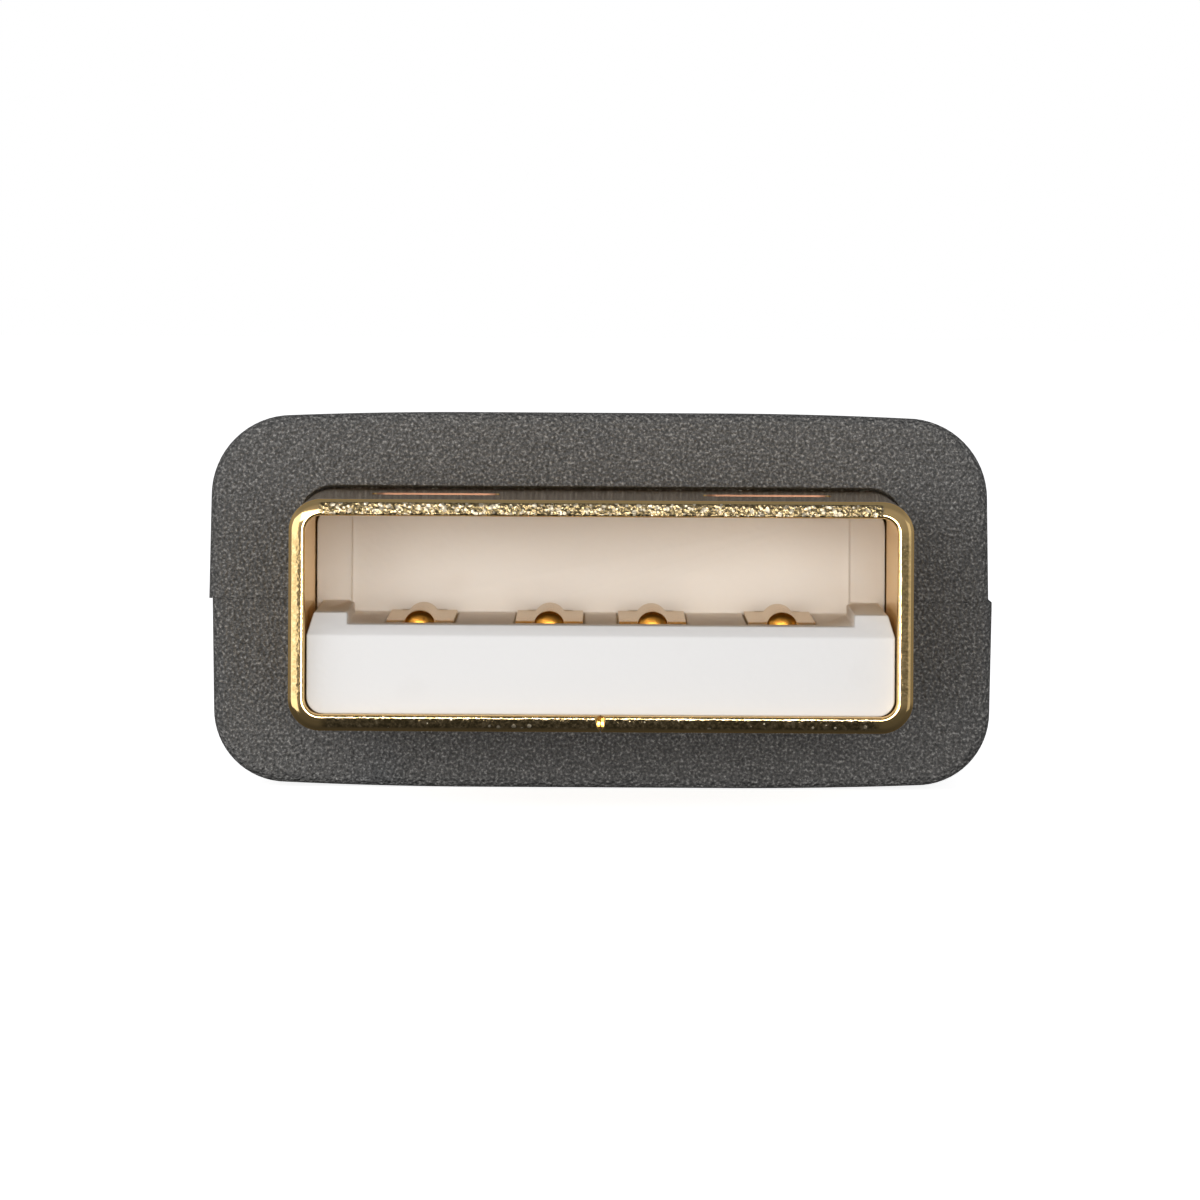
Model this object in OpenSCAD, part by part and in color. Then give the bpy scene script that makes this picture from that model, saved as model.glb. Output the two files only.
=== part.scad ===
// USB type A plug: a rolled shell, its contact carrier with four stamped contacts, a folded rear shield with
// a cable crimp, the inner mould and the moulded grip.
// Millimetres. The origin is the centre of the shell's mouth. The mouth faces -Y, the cable leaves along +Y,
// X is the width and +Z is up, on the side of the contacts' free space.

/* [Whole plug] */
// Length of the whole plug, from the mouth to the end of the grip
plug_l = 34.0; // [33.0:0.5:37.0]

/* [Shell] */
// Width of the shell, outside
shell_w = 12.0; // [11.8:0.1:12.4]
// Height of the shell, outside
shell_h = 4.45; // [4.35:0.05:4.7]
// Thickness of the shell's sheet
shell_wall = 0.32; // [0.28:0.01:0.36]
// Outer radius of the shell's four corners
shell_corner = 0.62; // [0.55:0.01:0.8]
// Length of shell that stands out of the grip
shell_reach = 12.0; // [11.5:0.1:13.0]
// How far the shell reaches past the insulator's block
shell_past_block = 0.7; // [0.5:0.1:1.0]
// Rounding of the mouth's outer edge
lip_outer = 0.1; // [0.06:0.01:0.13]
// Rounding of the mouth's inner edge
lip_inner = 0.07; // [0.04:0.01:0.13]
// Distance from the mouth to the latch windows
window_y = 5.16; // [5.0:0.02:5.4]
// Width of each latch window
window_w = 2.5; // [2.3:0.1:2.7]
// Length of each latch window
window_l = 2.0; // [1.8:0.1:2.2]
// Distance from the middle of the shell to the middle of a window
window_x = 3.25; // [3.1:0.05:3.4]
// Corner radius of the windows
window_corner = 0.25; // [0.1:0.05:0.4]

/* [Seam] */
// Gap of the butt seam under the shell
seam_gap = 0.04; // [0.02:0.01:0.08]
// Distance from the mouth to the middle of the first dovetail
seam_first_y = 3.6; // [3.2:0.1:4.2]
// Distance from one dovetail to the next
seam_pitch = 5.6; // [5.0:0.1:6.0]
// How far a dovetail reaches across the seam
dovetail_reach = 0.9; // [0.7:0.1:1.1]
// Length of a dovetail at its root
dovetail_root = 1.0; // [0.8:0.1:1.2]
// Length of a dovetail at its tip
dovetail_tip = 1.6; // [1.3:0.1:1.8]

/* [Insulator] */
// Clearance between the insulator and the shell
fit_gap = 0.03; // [0.02:0.01:0.05]
// Distance from the mouth to the front face of the tongue
tongue_set_back = 0.38; // [0.3:0.02:0.5]
// Height of the side ribs above the floor of the shell
tongue_h = 1.94; // [1.84:0.02:2.0]
// Height of the chamfer at the front of the tongue
chamfer_h = 0.43; // [0.38:0.01:0.5]
// Length of the chamfer at the front of the tongue
chamfer_l = 0.4; // [0.3:0.02:0.6]
// How far each side of the tongue leans in above the chamfer's foot
shoulder_lean = 0.13; // [0.08:0.01:0.18]
// Width of the channel between the side ribs
channel_w = 9.75; // [9.6:0.05:9.8]
// Depth of the channel below the rib tops
channel_sink = 0.225; // [0.2:0.005:0.26]
// Distance from the mouth to the back wall
cavity_l = 9.7; // [9.4:0.05:10.0]
// Width of the sunk panel in the back wall
panel_w = 9.9; // [9.85:0.05:10.2]
// Depth of the sunk panel in the back wall
panel_sink = 0.25; // [0.15:0.01:0.3]
// Length of the block behind the back wall
block_l = 5.2; // [5.0:0.1:5.4]
// Length of the solder shelf behind the block
shelf_l = 3.4; // [3.0:0.1:3.6]
// Width of the solder shelf
shelf_w = 9.4; // [9.0:0.1:9.8]
// Height of the shelf's dividers above the contacts' underside
divider_h = 0.55; // [0.4:0.05:0.7]
// Depth of the pockets under the tongue, where the socket's springs reach in
pocket_sink = 0.5; // [0.4:0.05:0.6]
// Margin of the pockets round the windows
pocket_margin = 0.1; // [0.05:0.05:0.15]

/* [Side latches] */
// Distance from the side latches to the end of the block
latch_inset = 0.5; // [0.4:0.05:0.6]
// Length of a side latch
latch_l = 1.3; // [1.1:0.1:1.4]
// Height of a side latch
latch_h = 1.2; // [1.0:0.1:1.6]
// How far a side latch stands out of the block
latch_out = 0.27; // [0.2:0.01:0.3]
// Clearance round a side latch in its hole
latch_gap = 0.05; // [0.03:0.01:0.08]

/* [Contacts] */
// Distance from the middle to the two inner contacts
contact_inner_x = 1.0; // [0.95:0.01:1.05]
// Distance from the middle to the two outer contacts
contact_outer_x = 3.5; // [3.4:0.02:3.6]
// Thickness of the contacts' sheet
contact_t = 0.12; // [0.1:0.01:0.14]
// Distance from the mouth to the contacts' noses
contact_front = 2.05; // [1.9:0.05:2.3]
// Width of the contacts' blades
blade_w = 1.3; // [1.2:0.02:1.34]
// Clearance beside and before a blade in its slot
blade_gap = 0.03; // [0.02:0.01:0.05]
// How far a blade stands above the channel's floor
blade_proud = 0.04; // [0.02:0.01:0.06]
// Width of the raised bead along a blade
bead_w = 0.6; // [0.54:0.02:0.64]
// Height of the bead above the blade
bead_h = 0.2; // [0.17:0.01:0.22]
// Length of the bead
bead_l = 6.2; // [5.8:0.1:6.4]
// Width of the contacts' tails
tail_w = 0.9; // [0.8:0.05:1.0]
// Length of the tails behind the block
tail_l = 2.9; // [2.5:0.1:2.95]
// How far the barbs stand out beside the tails
barb_out = 0.14; // [0.1:0.01:0.16]
// Length of a barb
barb_l = 0.5; // [0.4:0.05:0.6]

/* [Rear shield] */
// Thickness of the shield's sheet
shield_t = 0.25; // [0.2:0.01:0.3]
// Inner radius of the shield's folds
shield_bend = 0.25; // [0.15:0.05:0.3]
// Distance from the front of the grip to the shield
shield_inset = 0.6; // [0.5:0.1:0.8]
// Length of the shield's box
shield_l = 7.4; // [7.2:0.1:8.0]
// Clearance between the tray's walls and the lid's folds
shield_gap = 0.05; // [0.03:0.01:0.1]
// Height of the lid's side walls
lid_skirt = 3.4; // [3.0:0.1:3.8]
// Width of the neck between the tray and the crimp barrel
neck_w = 3.4; // [3.0:0.1:3.8]
// Length of the neck
neck_l = 1.4; // [1.2:0.1:1.8]
// Length of the crimp barrel
barrel_l = 3.6; // [3.0:0.1:4.0]
// Gap between the barrel's closed wings
barrel_gap = 0.3; // [0.2:0.05:0.6]

/* [Cable way] */
// Diameter of the cable that the grip takes
cable_d = 4.0; // [3.6:0.1:4.2]
// Diameter of the wires
wire_d = 0.7; // [0.6:0.05:0.75]
// How far a soldered wire lies below the top of its contact's tail
solder_sink = 0.08; // [0.05:0.01:0.1]
// Distance from the block to the start of the wires
wire_start = 1.3; // [1.1:0.1:1.5]
// Length of the room where the wires draw together into the cable
wire_room_l = 1.2; // [1.0:0.1:1.4]
// Height of that room
wire_room_h = 1.6; // [1.4:0.1:2.0]
// Room beside the outer wires
wire_room_margin = 0.15; // [0.1:0.05:0.3]

/* [Grip] */
// Width of the grip at its parting line
grip_w = 15.66; // [15.0:0.02:16.0]
// Height of the grip at the top of its crown
grip_h = 7.54; // [7.2:0.02:7.9]
// Corner radius of the grip
grip_corner = 1.62; // [1.4:0.02:1.9]
// How much lower the grip is at its corners than in the middle
grip_crown = 0.08; // [0.04:0.01:0.1]
// Width of the flat part of the crown
crown_flat = 5.0; // [4.0:0.1:6.0]
// Width of the flat part at the grip's rear end
rear_flat = 3.0; // [2.0:0.1:3.4]
// Lean of the grip's sides to the parting line, degrees
grip_draft = 1.0; // [0.5:0.1:1.5]
// Offset between the mould's two halves
mould_shift = 0.07; // [0.02:0.01:0.1]
// Length of the grip's tapering part
grip_taper = 7.0; // [6.0:0.1:8.0]
// Width of the grip's rear end
rear_w = 9.2; // [8.6:0.1:10.0]
// Height of the grip's rear end
rear_h = 6.4; // [6.2:0.1:6.8]
// Corner radius of the grip's rear end
rear_corner = 2.1; // [1.9:0.1:2.4]
// Rounding of the grip's front edge
front_edge = 0.25; // [0.15:0.01:0.35]
// Rounding of the grip's rear edge
rear_edge = 0.6; // [0.4:0.05:0.7]
// Number of finger grooves on each side
groove_count = 5; // [3:1:6]
// Distance from one finger groove to the next
groove_pitch = 1.9; // [1.7:0.1:2.0]
// Radius of the finger grooves
groove_r = 0.8; // [0.7:0.05:0.9]
// Depth of the finger grooves
groove_sink = 0.35; // [0.25:0.01:0.4]

/* [Hidden] */
$fn = 48;

past = 1;  // how far a cutter runs past what it cuts

// Shell
block_end = cavity_l + block_l;
shell_l = block_end + shell_past_block;
inside_w = shell_w - 2 * shell_wall;
inside_h = shell_h - 2 * shell_wall;
inside_corner = shell_corner - shell_wall;
floor_z = -inside_h / 2;

// Insulator
block_w = inside_w - 2 * fit_gap;
block_corner = inside_corner + fit_gap;
block_top = inside_h / 2 - fit_gap;
latch_y = block_end - latch_inset - latch_l;
shelf_end = block_end + shelf_l;
rib_z = floor_z + tongue_h;
channel_z = rib_z - channel_sink;

// Contacts, from the left: outer, inner, inner, outer
contact_xs = [-contact_outer_x, -contact_inner_x, contact_inner_x, contact_outer_x];
blade_z = channel_z + blade_proud;
seat_z = blade_z - contact_t;
bead_r = (pow(bead_w / 2, 2) + pow(bead_h, 2)) / (2 * bead_h);
bead_axis_z = blade_z + bead_h - bead_r;
bead_end = contact_front + bead_l;
tail_end = block_end + tail_l;
barb_y = cavity_l + block_l / 3;

// Rear shield
shield_y = shell_reach + shield_inset;
shield_end = shield_y + shield_l;
tray_w = shell_w + 2 * shield_t;
lid_w = tray_w + 2 * shield_t;
tray_z = -shell_h / 2 - shield_t;
lid_z = shell_h / 2 + shield_t;
tray_top = lid_z - shield_t - shield_bend - shield_gap;
barrel_r = cable_d / 2 + shield_t;
barrel_y = shield_end + neck_l;
barrel_end = barrel_y + barrel_l;

// Cable way
wire_z = blade_z + wire_d / 2 - solder_sink;
wire_room_w = 2 * contact_outer_x + wire_d + 2 * wire_room_margin;

// Grip
grip_y = shell_reach;
grip_end = plug_l;
grip_straight = plug_l - grip_y - grip_taper;
corner_steps = 10;
crown_steps = 3;
taper_steps = 10;
edge_steps = 5;

// ---- Helpers ----

// Runs a section drawn across the plug (x to the right, y up) from y0 to y1
module along(y0, y1)
    mirror([0, 1, -1]) translate([0, 0, y0]) linear_extrude(y1 - y0) children();

// Runs a side outline (x back along the plug, y up) across the plug's width
module across(w)
    translate([-w / 2, 0, 0]) rotate([90, 0, 90]) linear_extrude(w) children();

module round_rect(w, h, r) {
    square([w - 2 * r, h], center = true);
    square([w, h - 2 * r], center = true);
    for (sx = [-1, 1], sy = [-1, 1])
        translate([sx * (w / 2 - r), sy * (h / 2 - r)]) circle(r);
}

// ---- Shell ----

// The sheet's section at the mouth: x from the inner to the outer face, y from the mouth back
module sheet_section() {
    lip = max(lip_inner, lip_outer);
    translate([0, lip]) square([shell_wall, shell_l - lip]);
    translate([0, lip_inner]) square([lip_inner, lip - lip_inner + past]);
    translate([shell_wall - lip_outer, lip_outer]) square([lip_outer, lip - lip_outer + past]);
    translate([lip_inner, 0]) square([shell_wall - lip_inner - lip_outer, lip + past]);
    translate([lip_inner, lip_inner]) circle(lip_inner);
    translate([shell_wall - lip_outer, lip_outer]) circle(lip_outer);
}

// One flat wall of the tube, its outer face at a distance from the axis
module flat_wall(span, distance)
    translate([distance - shell_wall, span / 2, 0])
        rotate([90, 0, 0]) linear_extrude(span) sheet_section();

module rolled_tube() {
    side = shell_h - 2 * shell_corner;
    top = shell_w - 2 * shell_corner;
    for (turn = [0, 180]) {
        rotate(turn) flat_wall(side, shell_w / 2);
        rotate(turn + 90) flat_wall(top, shell_h / 2);
    }
    for (corner = [[1, 1, 0], [-1, 1, 90], [-1, -1, 180], [1, -1, 270]])
        translate([corner[0] * top / 2, corner[1] * side / 2, 0])
            rotate(corner[2]) rotate_extrude(angle = 90) translate([inside_corner, 0]) sheet_section();
}

module window_outlines(margin = 0)
    for (s = [-1, 1])
        translate([s * window_x, window_y + window_l / 2])
            round_rect(window_w + 2 * margin, window_l + 2 * margin, window_corner + margin);

// One dovetail of the seam, seen from above, grown by a margin
module dovetail(margin, root_x)
    polygon([[root_x, -dovetail_root / 2 - margin], [dovetail_reach + margin, -dovetail_tip / 2 - margin],
             [dovetail_reach + margin, dovetail_tip / 2 + margin], [root_x, dovetail_root / 2 + margin]]);

module seam_outline() {
    dovetails = [seam_first_y, seam_first_y + seam_pitch];
    starts = [-past, for (y = dovetails) y + dovetail_root / 2];
    ends = [for (y = dovetails) y - dovetail_root / 2, shell_l + past];
    for (i = [0 : len(starts) - 1])
        translate([-seam_gap / 2, starts[i]]) square([seam_gap, ends[i] - starts[i]]);
    for (y = dovetails)
        translate([0, y]) difference() {
            dovetail(seam_gap, -seam_gap / 2);
            dovetail(0, -seam_gap);
        }
}

module shell() color("gold") difference() {
    mirror([0, 1, -1]) rolled_tube();
    linear_extrude(shell_h + 2 * past, center = true) window_outlines();
    translate([0, 0, -shell_h / 2 - past]) linear_extrude(shell_h / 2) seam_outline();
    side_latch_holes();
}

module side_latch_holes()
    translate([-shell_w / 2 - past, latch_y - latch_gap, -latch_h / 2 - latch_gap])
        cube([shell_w + 2 * past, latch_l + 2 * latch_gap, latch_h + 2 * latch_gap]);

// ---- Insulator ----

// The full section of the shell's inside, less the clearance at the sides and top
module block_section() {
    height = block_top - floor_z;
    translate([0, floor_z + height / 2]) round_rect(block_w, height, block_corner);
}

module tongue_section() {
    foot_z = rib_z - chamfer_h;
    top_w = block_w - 2 * shoulder_lean;
    intersection() {
        block_section();
        polygon([[-block_w / 2, floor_z], [-block_w / 2, foot_z], [-top_w / 2, rib_z],
                 [top_w / 2, rib_z], [block_w / 2, foot_z], [block_w / 2, floor_z]]);
    }
}

// What the mould takes off the top of the tongue's front
module chamfer_outline() {
    foot_z = rib_z - chamfer_h;
    polygon([[tongue_set_back - past, foot_z], [tongue_set_back, foot_z],
             [tongue_set_back + chamfer_l, rib_z], [tongue_set_back + chamfer_l, rib_z + past],
             [tongue_set_back - past, rib_z + past]]);
}

module channel() {
    height = block_top - channel_z + past;
    translate([-channel_w / 2, tongue_set_back - past, channel_z])
        cube([channel_w, cavity_l - tongue_set_back + past, height]);
    translate([-panel_w / 2, cavity_l - past, channel_z])
        cube([panel_w, panel_sink + past, height]);
}

module blade_slots() {
    slot_w = blade_w + 2 * blade_gap;
    slot_y = contact_front - blade_gap;
    for (x = contact_xs)
        translate([x - slot_w / 2, slot_y, seat_z])
            cube([slot_w, cavity_l + panel_sink - slot_y, channel_z - seat_z + past]);
}

module side_latches()
    for (s = [0, 1])
        mirror([s, 0, 0])
            translate([block_w / 2, latch_y, -latch_h / 2]) linear_extrude(latch_h)
                polygon([[-fit_gap, 0], [latch_out, 0], [latch_out, latch_l / 3], [0, latch_l],
                         [-fit_gap, latch_l]]);

module solder_shelf() {
    difference() {
        translate([-shelf_w / 2, block_end, floor_z])
            cube([shelf_w, shelf_l, seat_z + divider_h - floor_z]);
        for (x = contact_xs)
            translate([x - tail_w / 2, block_end - past, seat_z])
                cube([tail_w, shelf_l + 2 * past, divider_h + past]);
    }
}

module insulator() color("white") difference() {
    union() {
        difference() {
            union() {
                along(tongue_set_back, cavity_l) tongue_section();
                along(cavity_l, block_end) block_section();
            }
            across(shell_w) chamfer_outline();
            channel();
            blade_slots();
        }
        solder_shelf();
        side_latches();
    }
    translate([0, 0, floor_z - past]) linear_extrude(past + pocket_sink) window_outlines(pocket_margin);
    for (x = contact_xs)
        translate([x, 0, 0]) contact_tail();
}

// ---- Contacts ----

// Section of a blade: a flat strip with a hollow bead pressed up along its middle
module blade_section() difference() {
    union() {
        translate([-blade_w / 2, seat_z]) square([blade_w, contact_t]);
        intersection() {
            translate([0, bead_axis_z]) circle(bead_r);
            translate([-bead_r, seat_z]) square([2 * bead_r, contact_t + bead_h + past]);
        }
    }
    translate([0, bead_axis_z]) circle(bead_r - contact_t);
}

// The bead's closed rear end
module bead_dome() difference() {
    intersection() {
        union() {
            translate([0, bead_end, bead_axis_z]) sphere(bead_r);
            translate([-blade_w / 2, bead_end, seat_z]) cube([blade_w, bead_r + blade_gap, contact_t]);
        }
        translate([-blade_w / 2, bead_end, seat_z])
            cube([blade_w, bead_r + blade_gap, contact_t + bead_h + past]);
    }
    translate([0, bead_end, bead_axis_z]) sphere(bead_r - contact_t);
}

// The flat part that is pressed through the block, with a barb on each side
module contact_tail() {
    start = bead_end + bead_r + blade_gap;
    translate([-blade_w / 2, start, seat_z]) cube([blade_w, cavity_l + panel_sink - start, contact_t]);
    translate([-tail_w / 2, cavity_l, seat_z]) cube([tail_w, tail_end - cavity_l, contact_t]);
    translate([0, barb_y, seat_z]) linear_extrude(contact_t)
        polygon([[-tail_w / 2 - barb_out, 0], [-tail_w / 2, barb_l], [tail_w / 2, barb_l],
                 [tail_w / 2 + barb_out, 0]]);
}

module contact(x) color("goldenrod") translate([x, 0, 0]) {
    along(contact_front, bead_end) blade_section();
    bead_dome();
    contact_tail();
}

module contact_1() contact(contact_xs[0]);
module contact_2() contact(contact_xs[1]);
module contact_3() contact(contact_xs[2]);
module contact_4() contact(contact_xs[3]);

// ---- Rear shield ----

// A folded sheet seen along the plug: a channel of width w, from its closed side at z0 to its open side at z1
module folded_section(w, z0, z1) {
    height = abs(z1 - z0);
    intersection() {
        translate([0, z1]) difference() {
            round_rect(w, 2 * height, shield_bend + shield_t);
            round_rect(w - 2 * shield_t, 2 * (height - shield_t), shield_bend);
        }
        translate([0, (z0 + z1) / 2]) square([w, height], center = true);
    }
}

// Side outline of the neck, which steps up from the tray's floor to the bottom of the barrel
module neck_outline() {
    rise = -barrel_r - tray_z;
    polygon([[shield_end - past, tray_z], [shield_end, tray_z], [barrel_y, tray_z + rise],
             [barrel_y + past, tray_z + rise], [barrel_y + past, tray_z + rise + shield_t],
             [barrel_y, tray_z + rise + shield_t], [shield_end, tray_z + shield_t],
             [shield_end - past, tray_z + shield_t]]);
}

module crimp_barrel() difference() {
    union() {
        across(neck_w) neck_outline();
        along(barrel_y, barrel_end) circle(barrel_r);
    }
    along(barrel_y - neck_l / 2, barrel_end + past) circle(cable_d / 2);
    translate([-barrel_gap / 2, barrel_y - past, 0])
        cube([barrel_gap, barrel_l + 2 * past, barrel_r + past]);
}

module rear_shield_lower() color("silver") {
    along(shield_y, shield_end) folded_section(tray_w, tray_z, tray_top);
    crimp_barrel();
}

module rear_shield_upper() color("silver")
    along(shield_y, shield_end) folded_section(lid_w, lid_z, lid_z - lid_skirt);

// ---- Inner mould ----

// What the wires keep free: a way along each contact's tail, and the room where they draw together
module wire_ways() {
    room_y = shield_end - wire_room_l;
    along(block_end + wire_start, room_y + past / 2)
        for (x = contact_xs)
            translate([x, wire_z]) circle(d = wire_d);
    along(room_y, shield_end + past)
        translate([0, wire_z]) square([wire_room_w, wire_room_h], center = true);
}

module inner_mould() color("ivory") difference() {
    union() {
        along(block_end, shell_l) round_rect(inside_w, inside_h, inside_corner);
        along(shell_l, shield_end) round_rect(shell_w, shell_h, shield_bend);
    }
    solder_shelf();
    for (x = contact_xs)
        translate([x, 0, 0]) contact_tail();
    wire_ways();
}

// ---- Grip ----

// Eases from 0 to 1
function ease(u) = (1 - cos(180 * u)) / 2;

function mix(a, b, u) = a + (b - a) * u;

// Upper right quarter of the grip's section, from the parting line to the flat of the crown
function quarter(w, h, r, flat) =
    let (edge = w / 2 - r, side = h / 2 - grip_crown - r)
    concat([[w / 2 + side * tan(grip_draft), 0]],
           [for (i = [0 : corner_steps]) let (a = 90 * i / corner_steps)
               [edge + r * cos(a), side + r * sin(a)]],
           [for (i = [crown_steps - 1 : -1 : 0]) let (u = i / crown_steps)
               [mix(flat / 2, edge, u), h / 2 - grip_crown * u * u]]);

// Width of the grip above the lean of its sides
body_w = grip_w - 2 * (grip_h / 2 - grip_crown - grip_corner) * tan(grip_draft);

// The whole section: both mould halves, each shifted sideways by half the offset
function grip_section(w, h, r, flat) =
    let (q = quarter(w, h, r, flat), n = len(q) - 1, s = mould_shift / 2)
    concat([for (p = q) [p[0] - s, p[1]]],
           [for (i = [n : -1 : 0]) [-q[i][0] - s, q[i][1]]],
           [for (p = q) [-p[0] + s, -p[1]]],
           [for (i = [n : -1 : 0]) [q[i][0] + s, -q[i][1]]]);

// One ring of the skin: u is how far the taper has run, inset is how far an edge's rounding has drawn it in
function grip_ring(y, u, inset) =
    let (e = ease(u),
         w = mix(body_w, rear_w, e) - 2 * inset,
         h = mix(grip_h, rear_h, e) - 2 * inset,
         r = mix(grip_corner, rear_corner, e) - inset)
    [for (p = grip_section(w, h, r, mix(crown_flat, rear_flat, e))) [p[0], y, p[1]]];

grip_rings = concat(
    [for (i = [0 : edge_steps]) let (a = 90 * i / edge_steps)
        grip_ring(grip_y + front_edge * (1 - cos(a)), 0, front_edge * (1 - sin(a)))],
    [for (i = [0 : taper_steps]) let (u = i / taper_steps)
        grip_ring(grip_y + grip_straight + (grip_taper - rear_edge) * u, u, 0)],
    [for (i = [1 : edge_steps]) let (a = 90 * i / edge_steps)
        grip_ring(grip_end - rear_edge * (1 - sin(a)), 1, rear_edge * (1 - cos(a)))]);

// Index lists that close one ring: the upper mould half, then the lower, each fanned from its crown.
// Each half takes in the other's nearer parting point, so the two meet along one shared edge.
function cap_faces(n) =
    let (half = n / 2, top = half / 2 - 1)
    [for (start = [0, half])
        [for (i = [top : half]) (start + i) % n, for (i = [0 : top - 1]) start + i]];

function reversed(list) = [for (i = [len(list) - 1 : -1 : 0]) list[i]];

// A closed skin over rings that all have the same number of points
module loft(rings) {
    n = len(rings[0]);
    last = len(rings) - 1;
    polyhedron(
        points = [for (ring = rings) each ring],
        faces = concat(
            cap_faces(n),
            [for (face = cap_faces(n)) reversed([for (i = face) last * n + i])],
            [for (k = [0 : last - 1], i = [0 : n - 1]) [k * n + i, (k + 1) * n + i, k * n + (i + 1) % n]],
            [for (k = [0 : last - 1], i = [0 : n - 1])
                [k * n + (i + 1) % n, (k + 1) * n + i, (k + 1) * n + (i + 1) % n]]));
}

module finger_grooves() {
    first = grip_y + (front_edge + grip_straight - (groove_count - 1) * groove_pitch) / 2;
    for (s = [-1, 1], i = [0 : groove_count - 1])
        translate([s * (grip_w / 2 + groove_r - groove_sink), first + i * groove_pitch, 0])
            cylinder(r = groove_r, h = grip_h + 2 * past, center = true);
}

// Outline of the closed shield seen along the plug
module shield_outline() {
    height = lid_z - tray_z;
    outer = shield_bend + shield_t;
    skirt_z = lid_z - lid_skirt;
    intersection() {
        round_rect(tray_w, height, outer);
        translate([-lid_w / 2, tray_z]) square([lid_w, skirt_z - tray_z]);
    }
    intersection() {
        round_rect(lid_w, height, outer);
        translate([-lid_w / 2, skirt_z]) square([lid_w, lid_skirt]);
    }
}

// Everything that the grip is moulded round, and the cable's bore
module grip_core() {
    along(grip_y - past, shield_y + past) round_rect(shell_w, shell_h, shell_corner);
    along(shield_y, shield_end) shield_outline();
    across(neck_w) neck_outline();
    along(barrel_y, barrel_end) circle(barrel_r);
    along(shield_end - past, grip_end + past) circle(cable_d / 2);
}

module overmould() color("dimgray") difference() {
    loft(grip_rings);
    grip_core();
    finger_grooves();
}

shell();
insulator();
contact_1();
contact_2();
contact_3();
contact_4();
rear_shield_lower();
rear_shield_upper();
inner_mould();
overmould();
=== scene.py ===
# %% [markdown]
# # A USB type A plug, seen into its mouth
#
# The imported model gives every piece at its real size. This script dresses it: a folded and gold-plated
# shell, a white moulded contact carrier, four stamped contacts and a dark grip with a spark-eroded grain.
# Everything is in metres, with the origin at the centre of the shell's mouth. The mouth faces -Y.

import math

import bmesh
import bpy
import numpy as np
from mathutils import Matrix, Vector


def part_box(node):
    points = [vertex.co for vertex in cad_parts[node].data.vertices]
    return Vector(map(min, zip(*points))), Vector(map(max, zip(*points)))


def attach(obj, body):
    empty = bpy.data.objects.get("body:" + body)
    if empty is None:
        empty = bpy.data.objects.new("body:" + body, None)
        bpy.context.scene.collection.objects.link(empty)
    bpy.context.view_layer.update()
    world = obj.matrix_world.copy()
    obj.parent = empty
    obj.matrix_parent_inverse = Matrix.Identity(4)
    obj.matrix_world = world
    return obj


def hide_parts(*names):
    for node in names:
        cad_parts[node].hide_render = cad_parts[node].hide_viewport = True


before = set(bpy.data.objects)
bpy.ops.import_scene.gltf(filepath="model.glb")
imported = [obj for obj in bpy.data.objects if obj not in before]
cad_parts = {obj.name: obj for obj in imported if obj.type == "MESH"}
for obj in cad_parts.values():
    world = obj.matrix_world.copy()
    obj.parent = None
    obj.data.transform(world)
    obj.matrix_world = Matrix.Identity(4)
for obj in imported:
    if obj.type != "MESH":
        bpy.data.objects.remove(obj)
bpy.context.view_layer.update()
MM = 0.001

# %% [markdown]
# ## Sizes
#
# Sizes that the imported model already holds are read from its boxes, so the dressed pieces always lie where
# the CAD pieces do. What a box can't tell, such as a corner's radius or the thickness of a sheet, is named
# here.

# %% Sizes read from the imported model
shell_low, shell_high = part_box("shell")
grip_low, grip_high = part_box("overmould")
tray_low, tray_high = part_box("rear_shield_lower")
lid_low, lid_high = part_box("rear_shield_upper")
blade_low, blade_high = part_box("contact_1")

shell_w = shell_high.x - shell_low.x
shell_h = shell_high.z - shell_low.z
shell_l = shell_high.y
grip_y = grip_low.y
grip_end = grip_high.y

# %% Sizes of the sheet, the windows and the seam
SHEET = 0.32 * MM
SHELL_CORNER = 0.62 * MM
LIP_OUTER = 0.12 * MM
LIP_INNER = 0.075 * MM
WINDOW = dict(y=5.16 * MM, x=3.25 * MM, w=2.5 * MM, l=2.0 * MM, corner=0.25 * MM)
SEAM = dict(gap=0.02 * MM, first=3.6 * MM, pitch=5.6 * MM, reach=0.9 * MM, root=1.0 * MM, tip=1.6 * MM,
            ease=0.11 * MM)
LATCH = dict(y=13.05 * MM, l=1.4 * MM, h=1.3 * MM)

# %% [markdown]
# ## Small tools for meshes
#
# A *loft* skins a row of rings that all have the same number of points. *settle* turns an object with live
# modifiers into a plain mesh, and *cut* and *join* take one closed mesh out of another, or add it. Edges that
# turn by more than a given angle stay sharp, and everything else is shaded smooth.

# %% From points to a mesh
MERGE = 2e-8  # points nearer than this, in metres, are one point


def new_object(name, mesh):
    piece = bpy.data.objects.new(name, mesh)
    bpy.context.scene.collection.objects.link(piece)
    return piece


def tidy_mesh(mesh, sharp_degrees=40):
    """Merges doubles, points every face outwards, and marks sharp edges."""
    work = bmesh.new()
    work.from_mesh(mesh)
    bmesh.ops.remove_doubles(work, verts=work.verts, dist=MERGE)
    bmesh.ops.recalc_face_normals(work, faces=work.faces)
    for face in work.faces:
        face.smooth = True
    for edge in work.edges:
        turned = len(edge.link_faces) == 2 and edge.calc_face_angle(0) > math.radians(sharp_degrees)
        edge.smooth = not turned
    work.to_mesh(mesh)
    work.free()


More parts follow.
